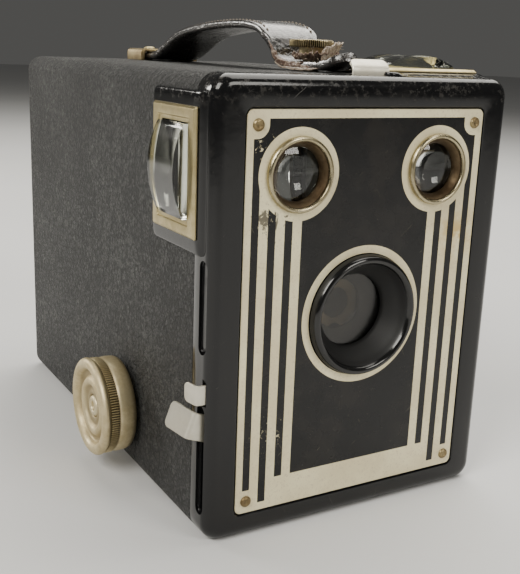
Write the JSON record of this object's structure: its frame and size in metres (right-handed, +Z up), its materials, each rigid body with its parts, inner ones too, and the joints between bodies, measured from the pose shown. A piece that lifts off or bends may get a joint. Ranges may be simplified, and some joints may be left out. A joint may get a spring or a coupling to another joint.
{
  "type": "box camera",
  "caption": "Metal box camera for roll film: leatherette case, sliding front section with shutter, stops, two reflecting finders, light cone and roll holder, and a carrying strap.",
  "frame": {"origin": "middle of the base the camera stands on: centre of the width, halfway between front face and back", "axes": "+Z up, -Y out of the lens (the front face looks along -Y), -X is the side with the winding knob and shutter lever"},
  "size_m": [0.0905, 0.1372, 0.1171],
  "materials": {
    "enamel": "black gloss stoving enamel, lightly worn",
    "leatherette": "fine pebbled black cloth-backed leatherette",
    "litho": "cream and black printed tinplate, worn satin",
    "brass": "plain satin brass, lightly tarnished",
    "nickel": "aged satin nickel plate with a warm cast",
    "steel": "plain dull steel",
    "black_steel": "matte black painted sheet steel",
    "glass": "clear polished glass",
    "mirror": "silvered glass",
    "ruby": "deep red transparent sheet",
    "leather": "black polished leather, worn, brown at the cut ends"
  },
  "bodies": {
    "case": {"case_shell": "black_steel", "leatherette_wrap": "leatherette", "leatherette_base": "leatherette", "case_back": "black_steel", "leatherette_back": "leatherette", "ruby_window": "ruby", "ruby_window_ring": "steel", "carry_strap": "leather", "strap_clip": "nickel", "strap_rivet_left": "brass", "strap_rivet_right": "brass", "latch_clamp_plate": "steel", "winder_bushing": "nickel"},
    "latch_screw": {"latch_screw": "brass"},
    "winder_pull": {"winder_collar": "steel"},
    "winder": {"winding_knob": "nickel", "winding_shaft": "steel"},
    "front_section": {"front_cover": "enamel", "face_plate": "litho", "plate_rivet_1": "brass", "plate_rivet_2": "brass", "plate_rivet_3": "brass", "plate_rivet_4": "brass", "lens_bezel": "enamel", "front_glass": "glass", "shutter_board": "black_steel", "shutter_disc_pivot": "steel", "light_trap": "black_steel", "latch_tongue": "black_steel", "lens_plate": "black_steel", "meniscus_lens": "glass", "lens_retainer": "steel", "light_cone": "black_steel", "holder_side_left": "black_steel", "holder_side_right": "black_steel", "film_gate": "black_steel", "spool_spring_take_up": "steel", "spool_spring_supply_left": "steel", "spool_spring_supply_right": "steel", "finder_bezel_top": "brass", "finder_objective_top": "glass", "finder_housing_top": "black_steel", "finder_mirror_top": "mirror", "finder_frame_top": "brass", "finder_window_top": "glass", "finder_bezel_side": "brass", "finder_objective_side": "glass", "finder_housing_side": "black_steel", "finder_mirror_side": "mirror", "finder_frame_side": "brass", "finder_window_side": "glass"},
    "shutter_lever": {"shutter_lever": "nickel", "shutter_spring": "steel"},
    "shutter_disc": {"shutter_disc": "black_steel"},
    "stop_slide": {"stop_slide": "nickel"},
    "time_slide": {"time_slide": "nickel"},
    "film_roller_lower": {"film_roller_lower": "nickel"},
    "film_roller_upper": {"film_roller_upper": "nickel"},
    "take_up_spool": {"take_up_spool": "black_steel", "spool_drive_dog": "steel"}
  },
  "joints": [
    {"name": "front_section_slide", "type": "slide", "parent": "case", "child": "front_section", "axis": [0, -1, 0], "range_m": [0, 0.1]},
    {"name": "latch_screw_turn", "type": "hinge", "parent": "case", "child": "latch_screw", "pos_m": [0, -0.04, 0.105], "axis": [0, 0, 1], "continuous": true},
    {"name": "winder_pull_slide", "type": "slide", "parent": "case", "child": "winder_pull", "axis": [-1, 0, 0], "range_m": [0, 0.006]},
    {"name": "winder_turn", "type": "hinge", "parent": "winder_pull", "child": "winder", "pos_m": [-0.04, -0.0185, 0.0175], "axis": [-1, 0, 0], "continuous": true},
    {"name": "take_up_spool_turn", "type": "hinge", "parent": "front_section", "child": "take_up_spool", "pos_m": [0, -0.0185, 0.0175], "axis": [-1, 0, 0], "continuous": true},
    {"name": "shutter_lever_turn", "type": "hinge", "parent": "front_section", "child": "shutter_lever", "pos_m": [-0.017, -0.06415, 0.0195], "axis": [0, -1, 0], "range_deg": [0, 40]},
    {"name": "shutter_disc_turn", "type": "hinge", "parent": "front_section", "child": "shutter_disc", "pos_m": [-0.008, -0.05465, 0.04], "axis": [0, 1, 0], "range_deg": [0, 84]},
    {"name": "stop_slide_lift", "type": "slide", "parent": "front_section", "child": "stop_slide", "axis": [0, 0, 1], "range_m": [0, 0.008]},
    {"name": "time_slide_pull", "type": "slide", "parent": "front_section", "child": "time_slide", "axis": [-1, 0, 0], "range_m": [0, 0.005]},
    {"name": "film_roller_lower_turn", "type": "hinge", "parent": "front_section", "child": "film_roller_lower", "pos_m": [0, 0.0529, 0.0054], "axis": [1, 0, 0], "continuous": true},
    {"name": "film_roller_upper_turn", "type": "hinge", "parent": "front_section", "child": "film_roller_upper", "pos_m": [0, 0.0529, 0.0956], "axis": [1, 0, 0], "continuous": true}
  ],
  "couplings": [
    {"joint": "take_up_spool_turn", "follows": "winder_turn", "ratio": 1},
    {"joint": "shutter_disc_turn", "follows": "shutter_lever_turn", "ratio": 2.1}
  ]
}
